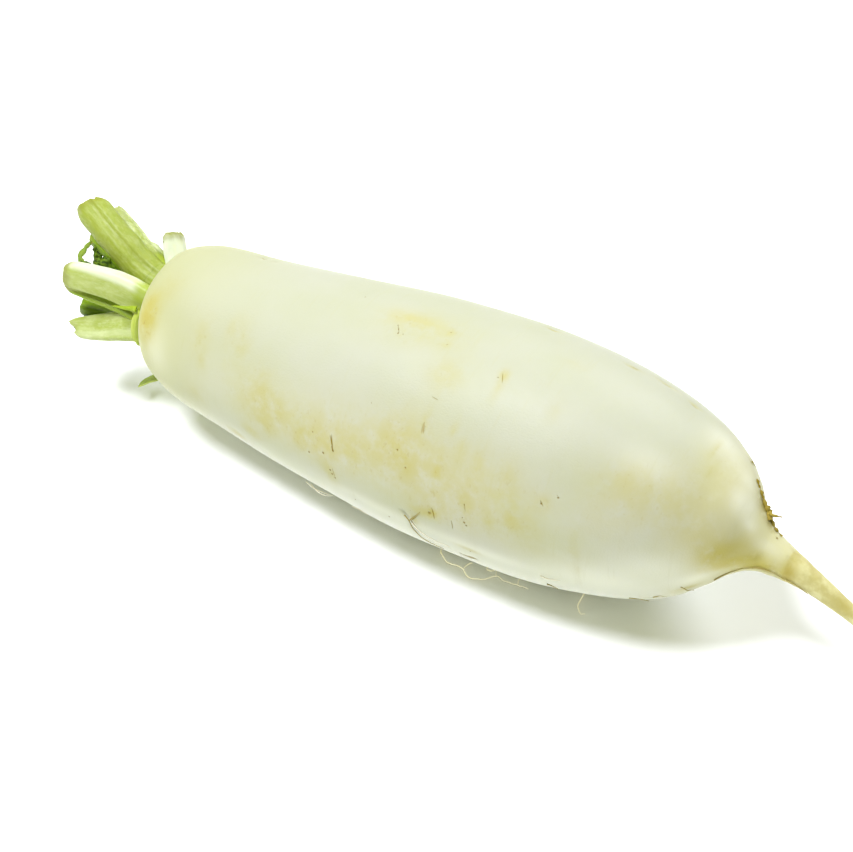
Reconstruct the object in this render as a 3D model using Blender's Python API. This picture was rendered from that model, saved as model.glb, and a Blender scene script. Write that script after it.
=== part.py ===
# A white radish lying on its side: one long swollen root with its thin tail, and the cut leaf
# stalks, the young leaves and the torn scraps that are left on its crown.
# The crown is towards -X, the tail towards +X, and Z is up. The origin is on the small flat spot
# that the root rests on, under its centre of mass.

import math

import bmesh
import bpy
from mathutils import Vector

# Driving dimensions, in metres
mm = 0.001
gap = 0.3 * mm              # clear space between pieces that touch
girth = 80.0 * mm           # widest diameter of the root
rest_depth = 0.0            # height of the flat spot, which is cut off the root's lowest line
root_sides = 40
stalk_sides = 22
stem_sides = 6
weld = 0.001 * mm           # points closer than this are one point
crease_angle = 50           # edges bent by more than this many degrees stay sharp
ahead = 0.01                # share of a path that is looked ahead and back for its direction

# Turned outline of the root, from the middle of the crown out over the shoulder and down to the
# tip of the tail: place along X in millimetres, and radius as a share of the widest radius.
root_outline = [
    (-120.6, 0.050), (-119.8, 0.170), (-117.8, 0.270), (-115.4, 0.335), (-114.2, 0.375),
    (-114.8, 0.430), (-113.9, 0.505), (-110.9, 0.590), (-105.5, 0.658), (-96.0, 0.724),
    (-75.0, 0.786), (-40.0, 0.898), (-6.0, 0.982), (20.0, 1.000), (42.0, 0.985), (60.0, 0.932),
    (75.0, 0.845), (87.0, 0.735), (96.0, 0.605), (102.5, 0.462), (107.5, 0.310), (112.5, 0.200),
    (119.0, 0.144), (128.0, 0.102), (138.0, 0.081), (150.0, 0.065), (165.0, 0.047),
    (178.0, 0.032), (188.0, 0.018),
]
# Height of the root's centre line along X, both in millimetres: it sinks a little in the middle
# and the tail droops towards the table.
root_heights = [
    (-122.0, 40.6), (-90.0, 38.9), (-56.0, 38.1), (-20.0, 38.4), (20.0, 39.4), (60.0, 40.35),
    (84.0, 40.5), (96.0, 40.1), (104.0, 39.1), (112.0, 37.5), (121.0, 35.1), (129.0, 32.3),
    (137.0, 28.7), (143.0, 25.8), (155.0, 19.6), (168.0, 12.6), (180.0, 6.6), (190.0, 3.0),
]

# The crown's end is not quite square: it leans along X by these shares of the distance across
# and up from the centre line, in full beyond the first place along X and fading out at the second.
lean_across, lean_up = -0.07, -0.025
lean_full, lean_none = -100.0 * mm, -60.0 * mm

# The crown that the stalks stand on, in metres
crown = Vector((-116.0, 0.0, 40.4)) * mm

# Leaf stalks, each with its path from the crown as (out, across, up) in millimetres, its broadest
# width and its thickness, the way that its grooved side faces round the root's axis in degrees
# (0 is +Y and 90 is up), how far its cut end slants, how wide that end is, how deep its channel is
# as a share of the thickness, and how far its two edges curl up. Some have their channel to one
# side (its middle and half width as shares of the half width), a crease along the other side (the
# same, and its depth in millimetres), or a channel that closes towards the end.
stalks = {
    "stalk_front": dict(
        path=[(-5, -0.6, 7.6), (9, 0.6, 11.2), (23, 2.4, 19.1), (39.2, 7.2, 25.5)],
        width=12.6, thickness=7.0, faces=-55, slant=-1.2, end=1.0, groove=0.30, curl=0.25,
        crease=(0.42, 0.20, 0.7)),
    "stalk_left": dict(
        path=[(-3, -9.0, 3.4), (9, -10.0, 7.2), (20, -12.0, 8.7), (33.0, -14.6, 9.4)],
        width=18.2, thickness=8.4, faces=178, slant=0.0, end=0.68, groove=0.50, curl=0.15,
        channel=(0.60, 0.30), close=0.9),
    "torn_tab": dict(
        path=[(0.0, -14.8, 7.0), (1.6, -16.0, 4.4), (2.0, -16.8, 0.8), (2.1, -17.0, -2.6),
              (1.9, -16.8, -5.8)],
        width=3.4, thickness=1.7, faces=-44, slant=-1.2, end=1.20, groove=0.10, curl=0.30),
    "stalk_low": dict(
        path=[(-2, -11.0, -2.0), (8, -13.2, -4.2), (19, -14.9, -8.2), (31.2, -16.8, -12.4)],
        width=12.0, thickness=6.8, faces=128, slant=-3.6, end=0.62, groove=0.16, curl=0.20),
    "stalk_right": dict(
        path=[(-5, 5.4, 6.0), (12, 8.4, 12.2), (24, 14.0, 13.6), (36.4, 17.8, 17.8)],
        width=9.6, thickness=5.4, faces=-96, slant=1.0, end=1.0, groove=0.25, curl=0.25,
        crease=(0.30, 0.22, 0.5)),
    "stalk_under": dict(
        path=[(-5, -2.0, -8.2), (8, -3.4, -8.6), (20, -5.6, -8.4), (34.5, -8.6, -8.4)],
        width=9.2, thickness=6.4, faces=82, slant=-1.2, end=0.96, groove=0.22, curl=0.18),
    "stalk_inner": dict(
        path=[(-5, -1.0, 1.4), (10, -1.0, 7.6), (22, -0.6, 13.6), (34, 1.6, 16.4)],
        width=6.0, thickness=4.0, faces=-70, slant=0.5, end=0.85, groove=0.20, curl=0.30),
    "stalk_far": dict(
        path=[(-5, 8.0, 4.4), (1, 10.2, 8.0), (5, 13.0, 12.4), (8.8, 16.8, 18.2)],
        width=12.4, thickness=6.0, faces=228, slant=0.6, end=0.98, groove=0.44, curl=0.50),
    "stalk_back": dict(
        path=[(-5, 8.8, -3.0), (3, 11.2, -3.6), (10, 14.2, -4.4), (17, 17.6, -5.6)],
        width=10.0, thickness=6.0, faces=172, slant=-0.8, end=0.86, groove=0.28, curl=0.35),
    "stalk_back_low": dict(
        path=[(-5, 3.6, -8.6), (3, 5.2, -10.8), (11, 7.4, -14.0), (19, 10.0, -18.0)],
        width=9.0, thickness=5.6, faces=118, slant=0.8, end=0.84, groove=0.28, curl=0.35),
    "leaf_scrap": dict(
        path=[(-5, -1.6, -12.6), (3, 0.5, -22.0), (5.5, 3.0, -31.0), (7.6, -2.0, -34.4),
              (8.6, -7.0, -33.6), (8.3, -11.9, -32.3)],
        width=5.4, thickness=1.6, faces=110, slant=1.0, end=0.20, groove=0.10, curl=0.50),
}
stalk_rows = [0.0, 0.07, 0.15, 0.25, 0.36, 0.48, 0.60, 0.72, 0.82, 0.90, 0.955, 0.985, 1.0]
fullness = 0.8              # below 1 the stalks are fuller than oval
foot_swell, foot_length = 0.10, 0.18          # the foot is wider by this share, over this share
edge_start, edge_draw, edge_power = 0.90, 0.24, 2.4    # where the end draws in, how far, how fast
close_start, close_length = 0.62, 0.36        # where a channel starts to close, and over how much
channel_clear = 6           # how many gaps shallower a channel is where neighbours are kept clear
level = 0.35                # where a curled stalk's section crosses its path
thinning = 0.3              # how much of a stalk's taper its thickness shares
close_power, channel_power, crease_power = 1.5, 2, 1.5
slant_power = 6             # how late along the stalk its slanting end begins
tip_extra = 0.6 * mm        # how far the cut end stands out beyond the path

# Young leaves in the middle of the crown: the path of each thin stem in millimetres, with the
# half width of its ragged blade
young_stems = [
    dict(path=[(-3, -3.2, -1.0), (14, -5.0, 4.6), (25, -9.2, 11.2), (30.5, -9.4, 14.2),
               (31.5, -5.6, 16.2), (31.6, -1.8, 17.4)], blade=0.9),
    dict(path=[(-3, -2.6, -1.6), (14, -3.2, 4.2), (24, -3.2, 9.6), (28.5, -3.0, 13.0),
               (30, -1.6, 16.2)], blade=1.2),
    dict(path=[(-3, -3.6, -2.4), (12, -5.0, 3.0), (22, -9.0, 11.0), (28, -12.0, 15.4)], blade=1.4),
    dict(path=[(-3, -2.0, -2.4), (13, -3.0, 3.6), (22, -5.4, 11.2), (27, -6.6, 13.2)], blade=2.6),
    dict(path=[(-3, -2.2, -2.0), (12, -2.4, 4.6), (20, -3.4, 11.0), (25, -3.6, 13.8)], blade=2.4),
]
stem_radius = 0.85 * mm
stem_rows = 15
stem_taper, stem_flatten = 0.35, 0.45         # how far a stem has thinned at its tip, in its
blade_start, blade_lobes = 0.45, 3            # width and its depth; where its blade begins
blade_least, blade_end = 0.35, 0.94           # a blade's narrowest share, and where it is cut off
blade_faces = Vector((0.0, -0.65, 0.64))      # the way that the blades look
bud_radius, bud_place = 3.0 * mm, (2.0, -2.8, -1.8)

# Colours of the pieces, as linear red, green and blue
ivory_skin = (0.80, 0.83, 0.62)
green_stalk = (0.50, 0.62, 0.14)
pale_stalk = (0.66, 0.76, 0.30)
dark_leaf = (0.10, 0.22, 0.03)


def make_material(name, colour, roughness):
    material = bpy.data.materials.new(name)
    material.use_nodes = True
    shader = material.node_tree.nodes["Principled BSDF"]
    shader.inputs["Base Color"].default_value = (*colour, 1.0)
    shader.inputs["Roughness"].default_value = roughness
    shader.inputs["Metallic"].default_value = 0.0
    return material


def share_of(value):
    """The value, held between 0 and 1."""
    return min(max(value, 0.0), 1.0)


def catmull(points, place):
    """Point on the smooth curve that passes through the given points, place being 0 to 1."""
    last = len(points) - 1
    step = min(int(place * last), last - 1)
    t = place * last - step
    before = points[step - 1] if step > 0 else 2 * points[0] - points[1]
    start, end = points[step], points[step + 1]
    after = points[step + 2] if step + 2 <= last else 2 * points[last] - points[last - 1]
    slope_in, slope_out = (end - before) / 2, (after - start) / 2
    return (
        (2 * t**3 - 3 * t**2 + 1) * start
        + (t**3 - 2 * t**2 + t) * slope_in
        + (3 * t**2 - 2 * t**3) * end
        + (t**3 - t**2) * slope_out
    )


def value_at(table, x):
    """Smooth reading of a table of (x, value) pairs, with slopes from the neighbouring pairs."""
    if x <= table[0][0]:
        return table[0][1]
    for index in range(len(table) - 1):
        (x0, y0), (x1, y1) = table[index], table[index + 1]
        if x <= x1:
            before = table[max(index - 1, 0)]
            after = table[min(index + 2, len(table) - 1)]
            slope0 = (y1 - before[1]) / (x1 - before[0])
            slope1 = (after[1] - y0) / (after[0] - x0)
            t = (x - x0) / (x1 - x0)
            run = x1 - x0
            return (
                (2 * t**3 - 3 * t**2 + 1) * y0
                + (t**3 - 2 * t**2 + t) * slope0 * run
                + (3 * t**2 - 2 * t**3) * y1
                + (t**3 - t**2) * slope1 * run
            )
    return table[-1][1]


def roll_up(name, material, rows, sides, place):
    """A flat grid rolled into a closed tube; place(row, turn) gives each point, turn being 0 to 1."""
    bm = bmesh.new()
    bmesh.ops.create_grid(bm, x_segments=rows, y_segments=sides, size=0.5)
    for vert in bm.verts:
        vert.co = place(round((vert.co.x + 0.5) * rows), vert.co.y + 0.5)
    bmesh.ops.remove_doubles(bm, verts=bm.verts, dist=weld)
    bmesh.ops.holes_fill(bm, edges=[edge for edge in bm.edges if edge.is_boundary], sides=0)
    bmesh.ops.recalc_face_normals(bm, faces=bm.faces)
    return finish_object(name, material, bm)


def finish_object(name, material, bm):
    mesh = bpy.data.meshes.new(name)
    bm.to_mesh(mesh)
    bm.free()
    mesh.shade_smooth()
    mesh.set_sharp_from_angle(angle=math.radians(crease_angle))
    mesh.materials.append(material)
    piece = bpy.data.objects.new(name, mesh)
    bpy.context.collection.objects.link(piece)
    return piece


def root_line(x):
    """Centre of the root at x and the direction that its centre line takes there."""
    rise = value_at(root_heights, x / mm + 0.5) - value_at(root_heights, x / mm - 0.5)
    centre = Vector((x, 0.0, value_at(root_heights, x / mm) * mm))
    return centre, Vector((1.0, 0.0, rise)).normalized()


def root_rings(points, grow):
    """The outline's rings as (place along X, radius), with one more between each two points and
    all of them moved out square to the outline by grow."""
    outline = [Vector((x * mm, share * girth / 2)) for x, share in points]
    count = 2 * (len(outline) - 1)
    step = 0.5 / count
    rings = []
    for index in range(count + 1):
        here = index / count
        front = catmull(outline, min(here + step, 1.0))
        behind = catmull(outline, max(here - step, 0.0))
        way = (front - behind).normalized()
        rings.append(catmull(outline, here) + grow * Vector((-way.y, way.x)))
    return rings


def root_body(name, material, points, grow=0.0):
    rings = root_rings(points, grow)

    def place(row, turn):
        centre, way = root_line(rings[row].x)
        side = Vector((0.0, 1.0, 0.0))
        up = way.cross(side)
        angle = 2 * math.pi * turn
        reach = rings[row].y * (side * math.cos(angle) - up * math.sin(angle))
        lean = share_of((lean_none - centre.x) / (lean_none - lean_full))
        reach.x += lean * (lean_across * reach.y + lean_up * reach.z)
        return centre + reach

    return roll_up(name, material, len(rings) - 1, root_sides, place)


def cut_rest_spot(root):
    """Cuts the small flat spot that the root rests on off its lowest line."""
    bm = bmesh.new()
    bm.from_mesh(root.data)
    bmesh.ops.bisect_plane(
        bm, geom=bm.verts[:] + bm.edges[:] + bm.faces[:], dist=weld,
        plane_co=(0.0, 0.0, rest_depth), plane_no=(0.0, 0.0, -1.0), clear_outer=True)
    bmesh.ops.holes_fill(bm, edges=[edge for edge in bm.edges if edge.is_boundary], sides=0)
    bm.to_mesh(root.data)
    bm.free()


def on_crown(point):
    """A point given as (out from the crown, across, up) in millimetres, in the part's own frame."""
    out, across, up = point
    return crown + Vector((-out, across, up)) * mm


def direction(line, along):
    """The way that a path takes at a place along it."""
    front, behind = min(along + ahead, 1.0), max(along - ahead, 0.0)
    return (catmull(line, front) - catmull(line, behind)).normalized()


def dip(across, middle, half, power):
    """How far across lies inside a channel or crease: 1 in its middle and 0 beyond its edges."""
    return share_of(1 - ((across - middle) / half) ** 2) ** power


def stalk(name, material, path, width, thickness, faces, slant, end, groove, curl,
          channel=(0.0, 1.0), crease=(0.0, 0.3, 0.0), close=0.35, grow=0.0):
    """A leaf stalk that widens at its foot and is cut off at its end; grow fattens it all round."""
    line = [on_crown(point) for point in path]
    groove_side = Vector((0.0, math.cos(math.radians(faces)), math.sin(math.radians(faces))))

    def place(row, turn):
        along = stalk_rows[row]
        way = direction(line, along)
        inner = (groove_side - groove_side.dot(way) * way).normalized()
        side = inner.cross(way)
        taper = 1.0 + (end - 1.0) * along**2
        foot = 1.0 + foot_swell * share_of(1.0 - along / foot_length) ** 2
        edge = 1.0 - edge_draw * share_of((along - edge_start) / (1 - edge_start)) ** edge_power
        shut = 1.0 - close * share_of((along - close_start) / close_length) ** close_power
        wide = (0.5 * width * mm + grow) * taper * foot
        thick = (thickness * mm + 2 * grow) * (1 - thinning + thinning * taper)

        angle = 2 * math.pi * turn
        across, through = math.cos(angle), math.sin(angle)
        height = 0.5 * thick * math.copysign(abs(through) ** fullness, through)
        if through > 0:
            deep = max(groove * shut * thick - channel_clear * grow, 0.0)
            height -= deep * dip(across, *channel, channel_power)
        else:
            height += crease[2] * mm * dip(across, crease[0], crease[1], crease_power)
        height += curl * thick * (across**2 - level) * (1 + shut) / 2
        slip = slant * mm * across * along**slant_power
        if along == 1.0:
            slip += tip_extra + grow
        return catmull(line, along) + edge * (side * across * wide + inner * height) + way * slip

    return roll_up(name, material, len(stalk_rows) - 1, stalk_sides, place)


def young_stem(name, material, path, blade):
    """A thin stem that widens into a ragged, lobed blade towards its tip."""
    line = [on_crown(point) for point in path]

    def place(row, turn):
        along = row / stem_rows
        way = direction(line, along)
        side = way.cross(blade_faces).normalized()
        thick = way.cross(side)
        leafy = share_of((along - blade_start) / (1 - blade_start))
        lobe = abs(math.sin(math.pi * blade_lobes * leafy))
        half_width = stem_radius * (1.0 - stem_taper * along)
        half_width += (blade * mm * (blade_least + (1 - blade_least) * lobe)
                       * math.sin(math.pi * leafy * blade_end))
        half_depth = stem_radius * (1.0 - stem_flatten * along)
        angle = 2 * math.pi * turn
        reach = side * half_width * math.cos(angle) + thick * half_depth * math.sin(angle)
        return catmull(line, along) + reach

    return roll_up(name, material, stem_rows, stem_sides, place)


def young_leaves(material):
    """The young leaves, joined in one body where their stems meet in a small bud."""
    bud = bmesh.new()
    bmesh.ops.create_icosphere(bud, subdivisions=2, radius=bud_radius)
    centre = on_crown(bud_place)
    for vert in bud.verts:
        vert.co = centre + Vector((2.0 * vert.co.x, vert.co.y, vert.co.z))
    leaves = finish_object("young_leaves", material, bud)
    shoots = bpy.data.collections.new("shoots")
    bpy.context.scene.collection.children.link(shoots)
    for number, shape in enumerate(young_stems):
        stem = young_stem(f"shoot_{number}", material, **shape)
        bpy.context.collection.objects.unlink(stem)
        shoots.objects.link(stem)
    union = leaves.modifiers.new("join the shoots", "BOOLEAN")
    union.operation = "UNION"
    union.operand_type = "COLLECTION"
    union.collection = shoots
    bpy.context.view_layer.update()
    finished = leaves.evaluated_get(bpy.context.evaluated_depsgraph_get())
    joined = bpy.data.meshes.new_from_object(finished)
    leaves.modifiers.clear()
    leaves.data = joined
    for stem in list(shoots.objects):
        bpy.data.objects.remove(stem)
    bpy.data.collections.remove(shoots)
    return leaves


def as_cutter(piece):
    piece.hide_render = True
    piece.display_type = "WIRE"
    return piece


def cut_clear(piece, cutter):
    """Trims the piece where it would touch its neighbour."""
    trim = piece.modifiers.new("clear of " + cutter.name, "BOOLEAN")
    trim.operation = "DIFFERENCE"
    trim.object = cutter


def build():
    for item in list(bpy.data.objects):
        bpy.data.objects.remove(item)

    skin = make_material("ivory_skin", ivory_skin, 0.45)
    green = make_material("green_stalk", green_stalk, 0.40)
    pale = make_material("pale_stalk", pale_stalk, 0.40)
    dark = make_material("dark_leaf", dark_leaf, 0.55)
    colours = {"stalk_right": pale, "stalk_far": pale, "stalk_low": pale, "leaf_scrap": dark}

    root = root_body("root", skin, root_outline)
    cut_rest_spot(root)
    crown_clearance = as_cutter(root_body("crown_clearance", skin, root_outline[:12], gap))

    clearances = [crown_clearance]
    for name, shape in stalks.items():
        piece = stalk(name, colours.get(name, green), **shape)
        for cutter in clearances:
            cut_clear(piece, cutter)
        clearances.append(as_cutter(stalk(name + "_clearance", green, grow=gap, **shape)))

    leaves = young_leaves(dark)
    for cutter in clearances:
        cut_clear(leaves, cutter)


build()
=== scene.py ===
# White radish lying on its side: the skin with its stains and scars, the cut leaf stalks, the young
# leaves, the torn scraps and the root hairs, in a plain white studio.

import math

import bmesh
import bpy
import numpy
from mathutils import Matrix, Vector, noise
from mathutils.bvhtree import BVHTree


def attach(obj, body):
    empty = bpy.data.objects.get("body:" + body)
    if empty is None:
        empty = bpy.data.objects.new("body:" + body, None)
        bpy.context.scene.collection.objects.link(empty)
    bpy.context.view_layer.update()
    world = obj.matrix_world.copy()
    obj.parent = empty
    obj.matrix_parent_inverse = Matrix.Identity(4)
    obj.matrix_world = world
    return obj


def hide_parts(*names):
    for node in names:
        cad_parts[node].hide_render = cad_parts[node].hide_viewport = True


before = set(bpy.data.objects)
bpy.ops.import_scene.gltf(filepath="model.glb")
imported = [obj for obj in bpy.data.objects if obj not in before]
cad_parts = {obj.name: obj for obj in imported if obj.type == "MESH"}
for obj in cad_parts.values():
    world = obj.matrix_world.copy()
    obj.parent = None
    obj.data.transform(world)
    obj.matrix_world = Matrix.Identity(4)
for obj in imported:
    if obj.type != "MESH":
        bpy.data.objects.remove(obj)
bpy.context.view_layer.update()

mm = 0.001

# Where the photograph was taken from: azimuth turns from the front towards the tail
viewpoint = dict(
    photoWide=853, photoHigh=852, lens=67.35, sensor=36.0,
    place=(0.2092, -0.3454, 0.3744), azimuth=32.03, elevation=40.0)


def addCamera():
    camera = bpy.data.objects.new("camera", bpy.data.cameras.new("camera"))
    camera.data.lens = viewpoint["lens"]
    camera.data.sensor_width = viewpoint["sensor"]
    camera.location = viewpoint["place"]
    camera.rotation_euler = (
        math.radians(90 - viewpoint["elevation"]), 0, math.radians(viewpoint["azimuth"]))
    bpy.context.collection.objects.link(camera)
    bpy.context.scene.camera = camera
    bpy.context.view_layer.update()
    return camera


camera = addCamera()


def sightLine(across, down):        # direction of the ray through a pixel of the photograph
    focal = viewpoint["lens"] / viewpoint["sensor"] * viewpoint["photoWide"]
    aim = Vector((across - viewpoint["photoWide"] / 2, viewpoint["photoHigh"] / 2 - down, -focal))
    return (camera.matrix_world.to_3x3() @ aim).normalized()


class Wire:        # one output socket of a node, so that shader maths reads as plain arithmetic
    def __init__(self, finish, socket):
        self.finish = finish
        self.socket = socket

    def maths(self, operation, *values):
        return self.finish.node("ShaderNodeMath", {"operation": operation}, dict(enumerate(values)))

    def __add__(self, other):
        return self.maths("ADD", self, other)

    def __sub__(self, other):
        return self.maths("SUBTRACT", self, other)

    def __rsub__(self, other):
        return self.maths("SUBTRACT", other, self)

    def __mul__(self, other):
        return self.maths("MULTIPLY", self, other)

    def __truediv__(self, other):
        return self.maths("DIVIDE", self, other)

    __radd__ = __add__
    __rmul__ = __mul__


class Finish:        # a material, and the nodes that are added to it
    def __init__(self, name, **sockets):
        self.material = bpy.data.materials.new(name)
        self.material.use_nodes = True
        self.tree = self.material.node_tree
        self.shader = self.tree.nodes["Principled BSDF"]
        for socket, value in sockets.items():
            self.shader.inputs[socket.replace("_", " ")].default_value = value
        self.place = self.node("ShaderNodeTexCoord", {}, {}, "Object")

    def node(self, kind, settings, sockets, output=0):
        made = self.tree.nodes.new(kind)
        for name, value in settings.items():
            setattr(made, name, value)
        for socket, value in sockets.items():
            if isinstance(value, Wire):
                self.tree.links.new(value.socket, made.inputs[socket])
            else:
                made.inputs[socket].default_value = value
        return Wire(self, made.outputs[output])

    def mix(self, share, low, high, blend="MIX"):
        settings = {"data_type": "RGBA", "blend_type": blend}
        return self.node("ShaderNodeMix", settings, {0: share, 6: low, 7: high}, 2)

    def vectors(self, operation, first, second, output=0):
        settings = {"operation": operation}
        return self.node("ShaderNodeVectorMath", settings, {0: first, 1: second}, output)

    def part(self, vector, letter):        # one of a vector's three numbers
        return self.node("ShaderNodeSeparateXYZ", {}, {0: vector}, letter)

    def away(self, spot, radius):        # distance from a spot, in radii
        return self.vectors("DISTANCE", self.place, tuple(spot), "Value") / radius

    def cloud(self, place, perMetre, detail=2.0, rough=0.5, output=0):
        stretched = self.vectors("MULTIPLY", place, perMetre)
        sockets = {"Vector": stretched, "Scale": 1.0, "Detail": detail, "Roughness": rough}
        return self.node("ShaderNodeTexNoise", {}, sockets, output)

    def rise(self, value, start, end):        # 0 at start, 1 at end, smooth between them
        sockets = {"Value": value, "From Min": start, "From Max": end}
        return self.node("ShaderNodeMapRange", {"interpolation_type": "SMOOTHSTEP"}, sockets)

    def painted(self, name, output="Fac"):        # a mask that the mesh carries
        return self.node("ShaderNodeAttribute", {"attribute_name": name}, {}, output)

    def bump(self, height, depth):
        sockets = {"Height": height, "Distance": depth, "Strength": 1.0}
        return self.node("ShaderNodeBump", {}, sockets)

    def feed(self, **wires):
        for socket, wire in wires.items():
            self.tree.links.new(wire.socket, self.shader.inputs[socket.replace("_", " ")])
        return self.material


def colour(red, green, blue):        # a colour as a screen shows it, 0 to 255
    def linear(value):
        value /= 255
        return value / 12.92 if value <= 0.04045 else ((value + 0.055) / 1.055) ** 2.4
    return (linear(red), linear(green), linear(blue), 1.0)


def eased(t, start, end, slopeIn, slopeOut):        # cubic between two values with given slopes
    return ((2 * t**3 - 3 * t**2 + 1) * start + (t**3 - 2 * t**2 + t) * slopeIn
            + (3 * t**2 - 2 * t**3) * end + (t**3 - t**2) * slopeOut)


def smooth(points, place):        # point on the curve through the given points, place being 0 to 1
    last = len(points) - 1
    step = min(int(place * last), last - 1)
    before = points[step - 1] if step > 0 else 2 * points[0] - points[1]
    start, end = points[step], points[step + 1]
    after = points[step + 2] if step + 2 <= last else 2 * points[last] - points[last - 1]
    return eased(place * last - step, start, end, (end - before) / 2, (after - start) / 2)


def heading(points, place):        # direction of that curve
    behind, ahead = max(place - 0.01, 0.0), min(place + 0.01, 1.0)
    return (smooth(points, ahead) - smooth(points, behind)).normalized()


def reading(table, x):        # smooth reading of a table of pairs
    if x <= table[0][0]:
        return table[0][1]
    for index in range(len(table) - 1):
        start, end = table[index], table[index + 1]
        if x <= end[0]:
            before = table[max(index - 1, 0)]
            after = table[min(index + 2, len(table) - 1)]
            slopeIn = (end[1] - before[1]) / (end[0] - before[0])
            slopeOut = (after[1] - start[1]) / (after[0] - start[0])
            run = end[0] - start[0]
            return eased((x - start[0]) / run, start[1], end[1], slopeIn * run, slopeOut * run)
    return table[-1][1]


def clamped(value, low=0.0, high=1.0):
    return min(max(value, low), high)


def toObject(name, bm, material, slot, *replaced):
    mesh = bpy.data.meshes.new(name)
    bm.to_mesh(mesh)
    bm.free()
    mesh.shade_smooth()
    mesh.materials.append(material)
    piece = bpy.data.objects.new(name, mesh)
    bpy.context.collection.objects.link(piece)
    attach(piece, "root")
    if replaced:
        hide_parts(*replaced)
    return piece


# The root: the same turned outline as its solid, made finely
root = dict(
    halfGirth=40.0 * mm, ringStep=1.05 * mm, sides=280,
    outline=[
        (-120.6, 0.050), (-119.8, 0.170), (-117.8, 0.270), (-115.4, 0.335), (-114.2, 0.375),
        (-114.8, 0.430), (-113.9, 0.505), (-110.9, 0.590), (-105.5, 0.658), (-96.0, 0.724),
        (-75.0, 0.786), (-40.0, 0.898), (-6.0, 0.982), (20.0, 1.000), (42.0, 0.985),
        (60.0, 0.932), (75.0, 0.845), (87.0, 0.735), (96.0, 0.605), (102.5, 0.462),
        (107.5, 0.310), (112.5, 0.200), (119.0, 0.144), (128.0, 0.102), (138.0, 0.081),
        (150.0, 0.065), (165.0, 0.047), (178.0, 0.032), (188.0, 0.018)],
    heights=[
        (-122.0, 40.6), (-90.0, 38.9), (-56.0, 38.1), (-20.0, 38.4), (20.0, 39.4), (60.0, 40.35),
        (84.0, 40.5), (96.0, 40.1), (104.0, 39.1), (112.0, 37.5), (121.0, 35.1), (129.0, 32.3),
        (137.0, 28.7), (143.0, 25.8), (155.0, 19.6), (168.0, 12.6), (180.0, 6.6), (190.0, 3.0)],
    leanAcross=-0.07, leanUp=-0.025, leanFull=-100.0 * mm, leanNone=-60.0 * mm)

# The skin's colours as a screen shows them, and where the ones that belong to a part of the root
# start and are full, in mm from the origin. The under tint and zone are painted bounce light: the
# skin low down is made paler, as if lit by light thrown up from the floor
rootTints = dict(
    pale=(178, 180, 158), deep=(174, 177, 146), shoulder=(172, 174, 112), back=(162, 165, 138),
    # the last tint on the next line is partly pale skin, partly painted highlight and painted
    # bounce light
    under=(226, 228, 214), flare=(192, 189, 140), ochre=(172, 160, 36), whitishAndHighlight=(222, 224, 204),
    tailDeep=(176, 167, 98), tailPale=(202, 198, 142), tailOchre=(160, 146, 62),
    collar=(160, 172, 48), stain=(170, 162, 82), speck=(150, 128, 58), brown=(140, 124, 0),
    streak=(168, 162, 104), pit=(122, 102, 4), scratch=(136, 114, 0))
rootZones = dict(
    shoulder=(-40.0, -105.0), back=(50.0, 74.0), under=(34.0, 8.0), flare=(92.0, 122.0),
    tail=(121.3, 122.0), tailSlant=0.11, collar=(-111.0, -114.5))

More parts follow.
